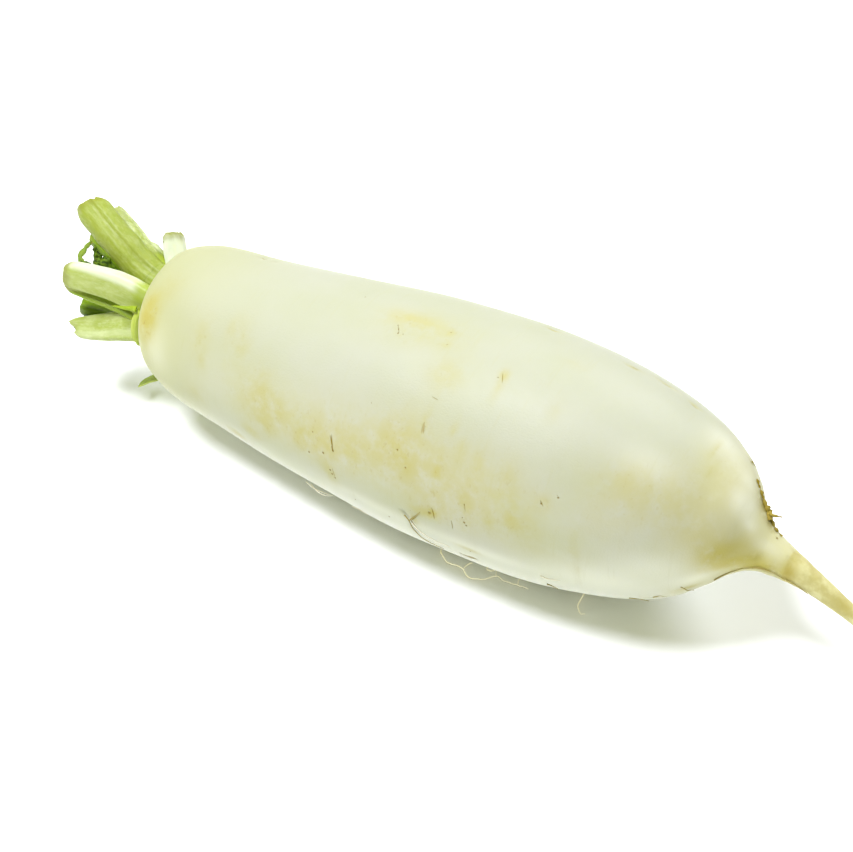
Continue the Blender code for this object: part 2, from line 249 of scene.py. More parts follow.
# Marks on the skin that the photograph shows, by its pixels
skinMarks = dict(
    # across, down, half length along the root and half width round it in mm, depth in mm: hollows
    hollows=[
        (265, 257, 1.6, 2.2, 0.5), (276, 261, 1.4, 2.0, 0.3), (363, 296, 1.6, 2.4, 0.3),
        (449, 294, 1.6, 2.6, 0.5), (555, 329, 2.6, 2.6, 0.6), (633, 366, 3.0, 1.6, 0.35),
        (667, 383, 3.6, 1.6, 0.35), (696, 405, 2.2, 1.6, 0.4), (741, 438, 2.0, 2.0, 0.4),
        (770, 506, 3.4, 4.2, 0.9), (236, 432, 2.6, 1.8, 0.3), (265, 452, 2.2, 1.6, 0.3),
        (355, 497, 1.8, 2.0, 0.4), (431, 514, 2.2, 2.2, 0.4), (451, 527, 2.2, 2.0, 0.3),
        (151, 320, 5.0, 8.0, 0.2), (147, 300, 6.0, 14.0, -0.8), (144, 332, 5.0, 10.0, -0.7),
        (545, 588, 2.4, 2.0, 0.4), (686, 590, 3.0, 2.0, 0.4),
        (620, 470, 16, 12, 0.35), (300, 350, 20, 12, 0.30), (440, 380, 14, 18, 0.25),
        (700, 500, 8, 14, 0.35), (520, 430, 12, 10, 0.25), (350, 440, 18, 8, 0.25)],
    # the pixels along each fold, half width in mm, depth in mm
    folds=[
        ([(402, 512), (409, 521), (415, 531), (424, 540), (440, 547), (458, 554), (476, 560)],
         0.9, 0.9),
        ([(783, 571), (791, 560), (799, 549)], 0.8, 0.35)],
    # the two ends of each thin brown line, half width in mm, strength; and how deep they all reach
    scratchDepth=6.0,
    scratches=[
        (420, 513, 410, 521, 0.40, 0.6), (409, 521, 416, 531, 0.42, 0.8),
        (415, 530, 424, 539, 0.42, 0.8), (423, 538, 443, 548, 0.30, 0.6),
        (442, 547, 462, 556, 0.34, 0.7), (462, 556, 477, 561, 0.30, 0.7),
        (330, 436, 332, 448, 0.30, 0.9), (331, 446, 333, 453, 0.26, 0.9),
        (398, 324, 399, 333, 0.12, 0.4), (424, 422, 421, 434, 0.40, 0.4),
        (431, 396, 438, 400, 0.14, 0.5), (424, 424, 423, 434, 0.16, 0.6),
        (431, 508, 434, 520, 0.26, 0.8), (464, 503, 465, 512, 0.16, 0.5),
        (451, 521, 452, 530, 0.18, 0.6), (553, 329, 559, 331, 0.34, 0.8),
        (642, 598, 664, 597, 0.30, 0.7), (752, 459, 755, 464, 0.50, 0.8),
        (681, 590, 694, 590, 0.50, 0.8), (761, 470, 764, 484, 0.24, 0.5),
        (446, 293, 452, 295, 0.30, 0.8), (262, 256, 268, 259, 0.32, 0.8),
        (631, 364, 640, 369, 0.22, 0.5), (663, 381, 673, 387, 0.22, 0.5),
        (692, 403, 699, 408, 0.24, 0.6), (765, 498, 771, 522, 0.30, 0.7),
        (331, 435, 333, 455, 0.18, 0.6), (332, 468, 336, 480, 0.18, 0.5),
        (503, 372, 502, 383, 0.14, 0.5), (540, 500, 543, 507, 0.16, 0.5)],
    # across, down, half length along the root and half width round it in mm, strength
    stains=[
        (149, 318, 4.0, 8.0, 0.85), (148, 316, 3.0, 6.0, 0.6), (171, 288, 5, 6, 0.22),
        (201, 337, 4, 7, 0.30),
        (201, 362, 2, 4, 0.25), (232, 328, 2.5, 4, 0.18), (242, 347, 3, 5, 0.22),
        (263, 404, 4, 5, 0.42), (263, 382, 3.5, 6, 0.20), (277, 411, 2.5, 4, 0.38),
        (195, 394, 4, 5, 0.22), (235, 433, 5, 2, 0.50), (251, 432, 4, 3, 0.42),
        (265, 427, 4, 4, 0.35), (407, 318, 8, 3.5, 0.34), (428, 325, 9, 5, 0.22),
        (451, 333, 1.6, 2, 0.42), (447, 344, 1.5, 1.5, 0.40), (443, 375, 5, 4, 0.22),
        (503, 376, 1.5, 2.5, 0.60), (498, 388, 1.5, 5, 0.24), (424, 425, 1.2, 4, 0.52),
        (454, 429, 1.2, 3.4, 0.30), (437, 469, 1.2, 5, 0.46), (393, 441, 6, 8, 0.36),
        (403, 453, 2.5, 4, 0.45), (406, 468, 1.4, 2, 0.42), (304, 441, 5, 5, 0.45),
        (324, 448, 5, 6, 0.34), (330, 472, 3, 5, 0.48), (351, 455, 5, 7, 0.26),
        (431, 514, 2.6, 2.2, 0.90), (420, 512, 4, 2.4, 0.50), (413, 520, 1.6, 2.2, 0.72),
        (464, 511, 2.4, 7, 0.42), (478, 463, 2.5, 6, 0.30), (461, 450, 2, 4, 0.28),
        (370, 450, 30, 12, 0.34), (440, 480, 26, 12, 0.34), (280, 418, 22, 9, 0.34),
        (252, 400, 8, 12, 0.24), (330, 445, 14, 8, 0.22), (410, 440, 10, 12, 0.20),
        (450, 512, 14, 6, 0.26), (500, 500, 14, 10, 0.16), (236, 340, 5, 12, 0.16),
        (420, 330, 16, 8, 0.20), (448, 375, 6, 7, 0.20),
        (488, 520, 1.6, 3, 0.36), (511, 515, 2, 6, 0.36), (522, 527, 6, 4, 0.28),
        (541, 503, 3, 3, 0.36), (468, 550, 4, 1.0, 0.55), (573, 548, 2, 7, 0.22),
        (640, 495, 15, 8, 0.34), (628, 478, 5, 4, 0.22), (690, 500, 12, 14, 0.28),
        (525, 546, 12, 5, 0.18), (600, 520, 10, 10, 0.16), (577, 572, 1.2, 7, 0.20),
        (686, 589, 4, 2.4, 0.60), (716, 448, 0.9, 5.0, 0.35), (712, 470, 1.0, 3.0, 0.25),
        (576, 364, 3.5, 2, 0.16), (555, 410, 2.5, 4, 0.16), (735, 470, 8, 8, 0.18),
        (505, 478, 4, 7, 0.26), (760, 470, 3, 4, 0.30), (634, 366, 3, 1.2, 0.40),
        (667, 383, 4, 1.4, 0.36), (555, 329, 2.2, 0.8, 0.75), (696, 405, 2, 1.2, 0.50)],
    # the same for the ochre patches, the brown at the neck above the tail, and the pale patches:
    # partly whitish skin at the tail's neck, partly painted highlight on the shoulder and along the
    # fold, and painted light on the flare's top and along the lower edge, where the floor throws
    # light up
    ochres=[
        (735, 548, 6.0, 3.4, 0.30), (718, 556, 5.0, 4.0, 0.65), (745, 560, 6.0, 2.4, 0.50),
        (712, 562, 4.0, 2.4, 0.50), (762, 567, 4.0, 1.6, 0.60), (700, 536, 8.0, 5.0, 0.22),
        (788, 574, 2.6, 4.0, 1.00), (846, 606, 3.0, 3.0, 0.60), (148, 318, 4.0, 7.0, 0.55),
        (706, 560, 5.0, 4.0, 0.50), (722, 566, 6.0, 2.4, 0.60), (745, 568, 6.0, 1.6, 0.60),
        (728, 551, 9.0, 4.0, 0.35), (752, 562, 6.0, 2.4, 0.45), (718, 566, 7.0, 2.6, 0.55)],
    browns=[
        (764, 502, 3.4, 3.4, 0.90), (769, 514, 2.8, 2.8, 0.95), (773, 527, 2.8, 1.8, 0.70),
        (752, 462, 1.4, 0.9, 0.70), (759, 478, 1.8, 1.8, 0.40), (757, 557, 2.2, 1.6, 0.35),
        (770, 567, 1.8, 1.4, 0.35), (797, 553, 1.3, 1.2, 0.50), (686, 589, 2.0, 1.0, 0.50),
        (722, 576, 3.0, 1.0, 0.50), (739, 571, 3.0, 1.0, 0.60), (756, 569, 3.0, 1.0, 0.60),
        (772, 573, 3.0, 1.0, 0.55), (786, 580, 2.6, 0.9, 0.55), (800, 588, 2.6, 0.8, 0.50)],
    palesAndHighlights=[
        (742, 500, 5.0, 5.0, 0.80), (750, 524, 3.5, 2.2, 0.60), (765, 545, 5.0, 2.2, 0.35),
        (777, 558, 4.0, 2.2, 0.10), (695, 578, 6.0, 3.0, 0.70), (600, 580, 26.0, 8.0, 0.75),
        (660, 570, 14.0, 6.0, 0.60), (728, 445, 7.0, 6.0, 0.50), (748, 478, 5.0, 4.0, 0.60),
        (480, 552, 22.0, 3.0, 0.50), (155, 352, 6.0, 9.0, 0.35), (372, 505, 16.0, 3.0, 0.40),
        (751, 508, 4.0, 4.0, 0.60), (650, 466, 10.0, 6.0, 0.30)],
    # across, down, radius in mm: small brown pits
    pits=[
        (365, 296, 0.42), (330, 437, 0.26), (330.5, 440, 0.30), (331, 444, 0.26),
        (331.5, 447, 0.30), (332.5, 451, 0.42), (312, 432, 0.36), (338, 445, 0.22),
        (323, 453, 0.34), (309, 452, 0.28), (397, 450, 0.34), (398, 325, 0.18),
        (398.5, 329, 0.20), (398, 333, 0.26), (403, 334, 0.16), (451, 332, 0.28),
        (431, 396, 0.30), (437, 399, 0.18), (371, 403, 0.30), (304, 354, 0.24),
        (249, 355, 0.22), (202, 376, 0.26), (305, 378, 0.20), (339, 416, 0.18),
        (331, 424, 0.20), (429, 514, 0.62), (432, 512, 0.40), (433, 517, 0.34),
        (451, 525, 0.34), (451.5, 528, 0.38), (464, 523, 0.34), (466, 526, 0.30),
        (462, 518, 0.22), (464, 505, 0.24), (409, 507, 0.22), (410, 511, 0.22),
        (389, 517, 0.34), (447, 344, 0.28), (330, 470, 0.30), (332, 474, 0.34),
        (335, 478, 0.26), (405, 468, 0.34), (353, 496, 0.40), (355, 500, 0.28),
        (558, 498, 0.34), (557, 496, 0.24), (541, 504, 0.30), (470, 552, 0.30),
        (778, 538, 0.36), (265, 258, 0.50), (277, 261, 0.34), (449, 294, 0.50),
        (553, 330, 0.42), (558, 331, 0.42), (425, 427, 0.26), (424, 431, 0.22),
        (498, 377, 0.24), (503, 379, 0.20), (240, 404, 0.18),
    ])


def rootCentre(x):        # height and slope of the root's centre line at x
    heights = root["heights"]
    height = reading(heights, x / mm) * mm
    slope = reading(heights, x / mm + 0.5) - reading(heights, x / mm - 0.5)
    return height, slope


def rootProfile():        # the outline's points from the crown to the tail, a small step apart
    outline = [Vector((x * mm, share * root["halfGirth"])) for x, share in root["outline"]]
    last = len(outline) - 1
    profile = [Vector((outline[0].x, 0.0))]
    for index in range(last):
        steps = max(2, round((outline[index + 1] - outline[index]).length / root["ringStep"]))
        for step in range(steps):
            profile.append(smooth(outline, (index + step / steps) / last))
    return profile + [outline[last], Vector((outline[last].x, 0.0))]


def turnRoot():
    bm = bmesh.new()
    line = [bm.verts.new((point.x, point.y, 0.0)) for point in rootProfile()]
    edges = [bm.edges.new(pair) for pair in zip(line, line[1:])]
    bmesh.ops.spin(
        bm, geom=line + edges, cent=(0, 0, 0), axis=(1, 0, 0), angle=2 * math.pi,
        steps=root["sides"], use_merge=True)
    bmesh.ops.remove_doubles(bm, verts=bm.verts, dist=0.001 * mm)
    lines = {}
    for vert in bm.verts:
        x, across, up = vert.co
        key = round(x, 7)
        if key not in lines:
            lines[key] = rootCentre(x)
        height, slope = lines[key]
        flat = math.hypot(1.0, slope)
        reach = Vector((-up * slope / flat, across, up / flat))
        lean = clamped((root["leanNone"] - x) / (root["leanNone"] - root["leanFull"]))
        reach.x += lean * (root["leanAcross"] * reach.y + root["leanUp"] * reach.z)
        vert.co = Vector((x, 0.0, height)) + reach
    bmesh.ops.recalc_face_normals(bm, faces=bm.faces)
    return bm


def markAt(skin, across, down):        # a spot on the skin: its place, along the root, and round it
    place, normal, index, distance = skin.ray_cast(camera.location, sightLine(across, down))
    if place is None:
        return None
    along = (Vector((1, 0, 0)) - normal.x * normal).normalized()
    return place, along, normal.cross(along), normal


def patch(places, mark, along, around, deep=6.0):        # soft oval patch on the mesh's points
    place, alongWay, aroundWay, normal = mark
    offset = places - numpy.array(place)
    share = (offset @ numpy.array(alongWay) / (along * mm)) ** 2
    share += (offset @ numpy.array(aroundWay) / (around * mm)) ** 2
    share += (offset @ numpy.array(normal) / (deep * mm)) ** 2
    return numpy.exp(-share)


def paint(piece, name, values):        # keeps a mask on the mesh for its material
    layer = piece.data.attributes.new(name, "FLOAT", "POINT")
    layer.data.foreach_set("value", numpy.asarray(values, dtype=numpy.float32))


def nearLine(places, start, end):        # distance of the mesh's points from a straight line
    start, end = numpy.array(start), numpy.array(end)
    run = end - start
    share = numpy.clip((places - start) @ run / (run @ run), 0.0, 1.0)
    return numpy.linalg.norm(places - start - share[:, None] * run, axis=1)


def reliefDepth(places, skin):        # how far the mesh's points sink, in mm
    deep = numpy.zeros(len(places))        # a hollow of less than nothing is a swelling
    for across, down, along, around, depth in skinMarks["hollows"]:
        mark = markAt(skin, across, down)
        if mark:
            deep += depth * patch(places, mark, along, around)
    for route, half, depth in skinMarks["folds"]:
        marks = [markAt(skin, across, down) for across, down in route]
        spots = [mark[0] for mark in marks if mark]
        away = numpy.min([nearLine(places, *pair) for pair in zip(spots, spots[1:])], axis=0)
        deep += depth * numpy.exp(-(away / (half * mm)) ** 2)
    swell = [noise.noise(Vector(place) * 38.0) for place in places]
    wrinkle = [noise.noise(Vector((x * 420.0, y * 45.0, z * 45.0))) for x, y, z in places]
    onTail = numpy.clip((places[:, 0] - 0.088) / 0.02, 0.12, 1.0)
    return deep + 0.30 * (numpy.array(swell) + 0.6) + 0.16 * onTail * (numpy.array(wrinkle) + 0.6)


def makeRoot():
    bm = turnRoot()
    skin = BVHTree.FromBMesh(bm)
    piece = toObject("root_skin", bm, skinFinish(skin), "root_skin", "root")
    count = len(piece.data.vertices)
    places, normals = numpy.empty(count * 3), numpy.empty(count * 3)
    piece.data.vertices.foreach_get("co", places)
    piece.data.vertices.foreach_get("normal", normals)
    places, normals = places.reshape(count, 3), normals.reshape(count, 3)
    for kind in ("stains", "ochres", "browns", "palesAndHighlights"):
        clear = numpy.ones(count)
        for across, down, along, around, strength in skinMarks[kind]:
            mark = markAt(skin, across, down)
            if mark:
                clear *= 1 - strength * patch(places, mark, along, around)
        paint(piece, kind, 1 - clear)
    places -= normals * (reliefDepth(places, skin) * mm)[:, None]
    places[:, 2] = numpy.maximum(places[:, 2], 0.0)
    piece.data.vertices.foreach_set("co", places.ravel())
    piece.data.update()
    return piece, skin


def pitMask(finish, skin, clouds):        # 1 in the small brown pits
    nearest = None
    for across, down, radius in skinMarks["pits"]:
        mark = markAt(skin, across, down)
        if mark:
            away = finish.away(mark[0], radius * mm)
            nearest = away if nearest is None else nearest.maths("MINIMUM", nearest, away)
    return finish.rise(nearest + (clouds - 0.5) * 1.2, 1.5, 0.7)


def scratchMask(finish, skin, clouds):        # each scratch's strength on its thin oval
    strongest = None
    for startAcross, startDown, endAcross, endDown, half, strength in skinMarks["scratches"]:
        start, end = markAt(skin, startAcross, startDown), markAt(skin, endAcross, endDown)
        if start and end:
            middle, run, normal = (start[0] + end[0]) / 2, end[0] - start[0], start[3]
            offset = finish.vectors("SUBTRACT", finish.place, tuple(middle))
            spans = [
                run.normalized() / (run.length / 2), run.cross(normal).normalized() / (half * mm),
                normal / (skinMarks["scratchDepth"] * mm)]
            along, aside, sunk = (
                finish.vectors("DOT_PRODUCT", offset, tuple(span), "Value") for span in spans)
            far = along * along + aside * aside + sunk * sunk
            mask = finish.rise(far + (clouds - 0.5) * 1.6, 1.2, 0.2) * strength
            strongest = mask if strongest is None else strongest.maths("MAXIMUM", strongest, mask)
    return strongest


def skinFinish(skin):
    finish = Finish(
        "ivory_skin", Roughness=0.5, Subsurface_Weight=0.25, Subsurface_Scale=0.004,
        Subsurface_Radius=(1.0, 0.9, 0.5), Specular_IOR_Level=0.3)
    tints = {name: colour(*tint) for name, tint in rootTints.items()}
    inMillimetres = finish.vectors("MULTIPLY", finish.place, (1000.0, 1000.0, 1000.0))
    x, y, up = (finish.part(inMillimetres, letter) for letter in "XYZ")
    clouds = finish.cloud(finish.place, (30.0, 45.0, 45.0), 3.0)
    fineClouds = finish.cloud(finish.place, (190.0, 190.0, 190.0), 4.0, 0.6)
    specks = finish.cloud(finish.place, (620.0, 420.0, 420.0), 3.0, 0.65)
    shoulder = finish.rise(x + clouds * 30, *rootZones["shoulder"])
    flare = finish.rise(x + clouds * 20, *rootZones["flare"])
    ochre = finish.painted("ochres") * finish.rise(fineClouds, 0.15, 0.55)
    tail = finish.rise(x - y * rootZones["tailSlant"], *rootZones["tail"])
    tailTint = finish.mix(finish.rise(fineClouds, 0.35, 0.65), tints["tailDeep"], tints["tailPale"])
    stain = finish.painted("stains") * finish.rise(fineClouds, 0.10, 0.66)
    stain = finish.node("ShaderNodeClamp", {}, {0: stain * 1.15})
    speckled = finish.painted("stains") * finish.rise(specks, 0.58, 0.72)
    brown = finish.painted("browns") * finish.rise(specks + fineClouds, 0.75, 1.1)
    streaks = finish.rise(finish.cloud(finish.place, (700.0, 70.0, 70.0), 2.0), 0.60, 0.74)
    pit, scratch = pitMask(finish, skin, fineClouds), scratchMask(finish, skin, fineClouds)
    colours = finish.mix(finish.rise(clouds, 0.35, 0.7), tints["pale"], tints["deep"])
    for share, tint in [        # each laid over the ones before it
            (shoulder * 0.9, tints["shoulder"]),
            (finish.rise(up, *rootZones["back"]) * 0.5, tints["back"]),
            # painted bounce light: the skin is paler from 34 mm down, full below 8 mm, as if lit
            # from the floor
            (finish.rise(up, *rootZones["under"]) * 0.85, tints["under"]),
            (flare * 0.85, tints["flare"]),
            (ochre, tints["ochre"]),
            # pale patches: partly whitish skin, partly painted highlight and painted bounce light
            (finish.painted("palesAndHighlights") * 0.85, tints["whitishAndHighlight"]),
            (tail * 0.85, tailTint),
            (ochre * tail * 0.9, tints["tailOchre"]),
            (finish.rise(x, *rootZones["collar"]), tints["collar"]),
            (stain, tints["stain"]),
            (speckled * 0.5, tints["speck"]),
            (brown * 0.8, tints["brown"]),
            (streaks * 0.08, tints["streak"]),
            (pit * 0.85, tints["pit"]),
            (scratch, tints["scratch"])]:
        colours = finish.mix(share, colours, tint)
    lines = finish.cloud(finish.place, (900.0, 120.0, 120.0), 2.0)
    pores = finish.cloud(finish.place, (1800.0, 1800.0, 1800.0), 1.0)
    bump = finish.bump(lines * 0.16 + pores * 0.2 - pit * 0.8 - scratch * 1.2, 0.3 * mm)
    roughness = 0.46 + stain * 0.2 + fineClouds * 0.1
    return finish.feed(Base_Color=colours, Roughness=roughness, Normal=bump)


rootPiece, rootSkin = makeRoot()
print("root: turned, stained")

# Leaf stalks: the path from the crown as (out, across, up) in mm, broadest width and thickness, the
# way the grooved side faces in degrees, how far the cut end slants, and how wide that end is. Then
# over the width, from -1 to 1, the middle and half width of the channel, of a crease on the other
# side with its depth, and of a notch in the end with its depth. A step draws one edge back.
crown = Vector((-116.0, 0.0, 40.4)) * mm
stalkShapes = dict(
    stalk_front=dict(
        path=[(-5, -0.6, 7.6), (9, 0.6, 11.2), (23, 2.4, 19.1), (39.2, 7.2, 25.5)],
        width=12.6, thickness=7.0, faces=-55, slant=-1.2, end=1.0, groove=0.30, curl=0.25,
        crease=(0.15, 0.30, 0.9), notch=(0.62, 0.14, 0.9)),
    stalk_left=dict(
        path=[(-3, -9.0, 3.4), (9, -10.0, 7.2), (20, -12.0, 8.7), (33.0, -14.6, 9.4)],
        width=18.2, thickness=8.4, faces=178, slant=0.0, end=0.68, groove=0.40, curl=0.15,
        channel=(0.54, 0.24), close=0.9),
    stalk_low=dict(
        path=[(-2, -11.0, -2.0), (8, -13.2, -4.2), (19, -14.9, -8.2), (31.2, -16.8, -12.4)],
        width=12.0, thickness=6.8, faces=128, slant=-2.8, end=0.62, groove=0.16, curl=0.20,
        notch=(0.1, 0.5, 0.9)),
    stalk_right=dict(
        path=[(-5, 5.4, 6.0), (12, 8.4, 12.2), (24, 14.0, 13.6), (36.4, 17.8, 17.8)],
        width=9.6, thickness=5.4, faces=-96, slant=1.0, end=1.0, groove=0.25, curl=0.25,
        crease=(0.30, 0.22, 0.5), step=(0.42, 1.8)),
    stalk_under=dict(
        path=[(-5, -2.0, -8.2), (8, -3.4, -8.6), (20, -5.6, -8.4), (34.5, -8.6, -8.4)],
        width=9.2, thickness=6.4, faces=82, slant=-1.2, end=0.96, groove=0.22, curl=0.18),
    stalk_inner=dict(
        path=[(-5, -1.0, 1.4), (10, -1.0, 7.6), (22, -0.6, 13.6), (34, 1.6, 16.4)],
        width=6.0, thickness=4.0, faces=-70, slant=0.5, end=0.85, groove=0.20, curl=0.30),
    stalk_far=dict(
        path=[(-5, 8.0, 4.4), (1, 10.2, 8.0), (5, 13.0, 12.4), (8.8, 16.8, 18.2)],
        width=12.4, thickness=6.0, faces=228, slant=0.4, end=0.98, groove=0.44, curl=0.50,
        notch=(0.0, 0.36, 2.8)),
    stalk_back=dict(
        path=[(-5, 8.8, -3.0), (3, 11.2, -3.6), (10, 14.2, -4.4), (17, 17.6, -5.6)],
        width=10.0, thickness=6.0, faces=172, slant=-0.8, end=0.86, groove=0.28, curl=0.35),
    stalk_back_low=dict(
        path=[(-5, 3.6, -8.6), (3, 5.2, -10.8), (11, 7.4, -14.0), (19, 10.0, -18.0)],
        width=9.0, thickness=5.6, faces=118, slant=0.8, end=0.84, groove=0.28, curl=0.35),
    torn_tab=dict(
        path=[(-0.6, -14.8, 6.4), (0.9, -15.9, 3.8), (1.4, -16.7, 0.6), (1.5, -17.0, -2.8),
              (1.5, -16.8, -6.0)],
        width=3.2, thickness=1.5, faces=-44, slant=-1.2, end=1.20, groove=0.10, curl=0.30),
    bract=dict(
        path=[(0.4, -15.8, 7.8), (2.0, -15.6, 7.3), (5.5, -16.3, 6.7), (10.5, -17.0, 6.1)],
        width=2.0, thickness=0.8, faces=-44, slant=0.0, end=0.20, groove=0.10, curl=0.20),
    leaf_scrap=dict(
        path=[(-5, -1.6, -12.6), (3, 0.5, -22), (5.5, 3.0, -31), (7.6, -2.0, -34.4),
              (8.6, -7.0, -33.6), (8.3, -11.9, -32.3)],
        width=5.4, thickness=1.6, faces=110, slant=1.0, end=0.20, groove=0.10, curl=0.50))

# How each stalk looks: its pale and deep colour, how bruised and how ragged its end is, how far up
# its foot is yellow-green in mm, how strong its pale mottle is (partly its own pale blotches,
# partly painted glints of wet highlight), a painted highlight band and a green lip across its width
# in mm, a scar across it in mm from its foot, and dark spots by the photograph's pixels with their
# radius in mm
stalkLooks = dict(
    stalk_front=dict(pale=(142, 154, 56), deep=(130, 144, 40), bruise=0.6, ragged=0.5, foot=7.0,
                     paleMottleAndGlint=0.13, scar=12.5, spots=[(99, 241, 0.35)]),
    stalk_left=dict(pale=(170, 182, 102), deep=(152, 166, 72), bruise=0.8, ragged=0.4, foot=8.0,
                    paleMottleAndGlint=0.20, highlightBand=(-9.8, -6.6, 0.7), lip=(4.2, 5.4)),
    stalk_low=dict(pale=(160, 172, 96), deep=(144, 158, 66), bruise=0.30, ragged=1.0, foot=5.0,
                   paleMottleAndGlint=0.25, highlightBand=(1.0, 4.0, 0.2), slot="pale_stalk"),
    stalk_right=dict(pale=(152, 162, 92), deep=(134, 148, 62), bruise=0.30, ragged=0.9, foot=12.0,
                     paleMottleAndGlint=0.45, highlightBand=(0.4, 3.2, 0.2), slot="pale_stalk"),
    # the deep of the two greens here is partly painted shade, for where this stalk lies under the
    # others
    stalk_under=dict(pale=(118, 146, 18), deep=(84, 112, 4), bruise=0.1, ragged=0.3, foot=5.0),
    stalk_inner=dict(pale=(122, 148, 30), deep=(98, 126, 14), bruise=0.3, ragged=0.4, foot=6.0),
    stalk_far=dict(pale=(206, 212, 188), deep=(190, 198, 162), bruise=0.9, ragged=0.6, foot=-2.0,
                   paleMottleAndGlint=0.40, highlightBand=(-7.0, 0.6, 1.0), lip=(4.6, 5.6), spots=[(163, 242, 0.45)],
                   slot="pale_stalk"),
    stalk_back=dict(pale=(152, 166, 66), deep=(136, 152, 46), bruise=0.5, ragged=0.6, foot=7.0,
                    paleMottleAndGlint=0.30, highlightBand=(0.0, 3.0, 0.3)),
    stalk_back_low=dict(pale=(152, 166, 66), deep=(136, 152, 46), bruise=0.5, ragged=0.6, foot=7.0,
                        paleMottleAndGlint=0.30, highlightBand=(0.0, 3.0, 0.3)),
    torn_tab=dict(pale=(178, 190, 88), deep=(160, 176, 62), bruise=0.1, ragged=0.6, foot=1.0),
    bract=dict(pale=(146, 168, 34), deep=(134, 156, 26), bruise=0.0, ragged=0.2, foot=1.0),
    leaf_scrap=dict(pale=(196, 208, 120), deep=(170, 188, 86), bruise=0.1, ragged=0.5, foot=5.0,
                    slot="leaf_green"))
# The first tint is a painted highlight along a stripe of the width; the second is pale mottle,
# partly the stalk's own blotches and partly painted glints of wet highlight
stalkTints = dict(
    highlightBand=(216, 221, 194), paleMottleAndGlint=(212, 220, 168), lip=(124, 148, 30), scar=(112, 130, 36),
    foot=(146, 164, 32), rim=(140, 156, 60), spot=(96, 92, 24), bruise=(124, 128, 40))

# What all stalks share: lengths as shares of the stalk's length, and the unevenness in mm. At the
# closed end, how far each ring has drawn in, and how far it stands out in mm.
stalkForm = dict(
    rows=64, sides=56, footSwell=0.10, footLength=0.18, edgeDraw=0.24, edgeLength=0.10,
    shutFrom=0.62, shutLength=0.36, ridge=0.05, uneven=0.20, wavy=0.05, jagged=2.2,
    finelyJagged=6.0, cutEnd=[
        (0.96, 0.10), (0.86, 0.16), (0.72, 0.06), (0.52, -0.20), (0.28, -0.42), (0.0, -0.50)])


def onCrown(point):
    out, across, up = point
    return crown + Vector((-out, across, up)) * mm


def rollUp(rows, sides, place):        # a grid rolled into a tube; place gives point and grain
    bm = bmesh.new()
    bmesh.ops.create_grid(bm, x_segments=rows, y_segments=sides, size=0.5)
    grain = bm.verts.layers.float_vector.new("grain")
    for vert in bm.verts:
        vert.co, vert[grain] = place(round((vert.co.x + 0.5) * rows), vert.co.y + 0.5)
    bmesh.ops.remove_doubles(bm, verts=bm.verts, dist=0.002 * mm)
    bmesh.ops.holes_fill(bm, edges=[edge for edge in bm.edges if edge.is_boundary], sides=0)
    bmesh.ops.recalc_face_normals(bm, faces=bm.faces)
    return bm


def hump(across, middle, half):        # 1 in the middle of a stretch of the width, 0 past its ends
    return clamped(1 - ((across - middle) / half) ** 2)


def makeStalk(name, path, width, thickness, faces, slant, end, groove, curl,
              channel=(0.0, 1.0), crease=(0.0, 0.3, 0.0), close=0.35, step=(1.0, 0.0),
              notch=(0.0, 1.0, 0.0)):
    line = [onCrown(point) for point in path]
    looks, form = stalkLooks[name], stalkForm
    grooveSide = Vector((0.0, math.cos(math.radians(faces)), math.sin(math.radians(faces))))
    length = sum((b - a).length for a, b in zip(line, line[1:])) / mm
    seed = 7.3 * len(name) + faces
    last = form["rows"] - len(form["cutEnd"])

    def place(row, turn):
        along = min(row / last, 1.0)
        shrink, stand = (1.0, 0.0) if row <= last else form["cutEnd"][row - last - 1]
        way = heading(line, along)
        inner = (grooveSide - grooveSide.dot(way) * way).normalized()
        side = inner.cross(way)
        angle = 2 * math.pi * turn
        across, through = math.cos(angle), math.sin(angle)
        through = math.copysign(abs(through) ** 0.8, through)
        fall = 1 - across**2        # unevenness dies out towards the two edges

        # how the whole section changes along the stalk
        taper = 1.0 + (end - 1.0) * along**2
        foot = 1.0 + form["footSwell"] * clamped(1.0 - along / form["footLength"]) ** 2
        drawn = clamped((along - 1.0 + form["edgeLength"]) / form["edgeLength"])
        edge = 1.0 - form["edgeDraw"] * drawn ** 2.4
        shut = 1.0 - close * clamped((along - form["shutFrom"]) / form["shutLength"]) ** 1.5
        thick = thickness * (0.7 + 0.3 * taper)
        sunk = groove * shut * thick * hump(across, *channel) ** 2

        # height above the middle of the section
        height = 0.5 * thick * through
        if through > 0:
            height -= sunk
            height += form["ridge"] * math.sin(9 * across + seed) * fall
        else:
            height += crease[2] * hump(across, *crease[:2]) ** 1.5
            height -= form["ridge"] * math.sin(11 * across + seed) * fall
        rough = noise.noise(Vector((across * 1.5, through * 1.5, along * length / 6 + seed)))
        height += form["uneven"] * rough * fall
        curled = curl * thick * (across**2 - 0.35) * (0.5 + 0.5 * shut)
        height = curled - 0.5 * sunk * (1 - shrink) + shrink * height

        # half width, and how far the cut end reaches
        wavy = noise.noise(Vector((math.copysign(4, across), along * length / 5, seed)))
        wide = 0.5 * width * taper * foot * edge
        wide *= (1 - 0.05 * (1 - shrink)) * (1 + form["wavy"] * wavy)
        if across > 0:
            wide -= step[1] * clamped((along - step[0]) / 0.02)
        jag = noise.noise(Vector((across * form["jagged"], 0.4 * through, seed)))
        jag += 0.5 * noise.noise(Vector((across * form["finelyJagged"], 0.8 * through, seed)))
        bite = notch[2] * hump(across, *notch[:2])
        slip = (slant * across + looks["ragged"] * jag) * along**6 - bite * along**30 + stand
        point = smooth(line, along) + (side * across * wide + inner * height * edge) * mm
        return point + way * slip * mm, (across * wide, through * 0.5 * thick, along * length)

    bm = rollUp(form["rows"], form["sides"], place)
    material = stalkFinish(name, length, looks, BVHTree.FromBMesh(bm))
    slotName = looks.get("slot", "green_stalk")
    if name == "bract":        # too small to be in the solid
        return toObject("bract", bm, material, slotName)
    return toObject("fine_" + name, bm, material, slotName, name)


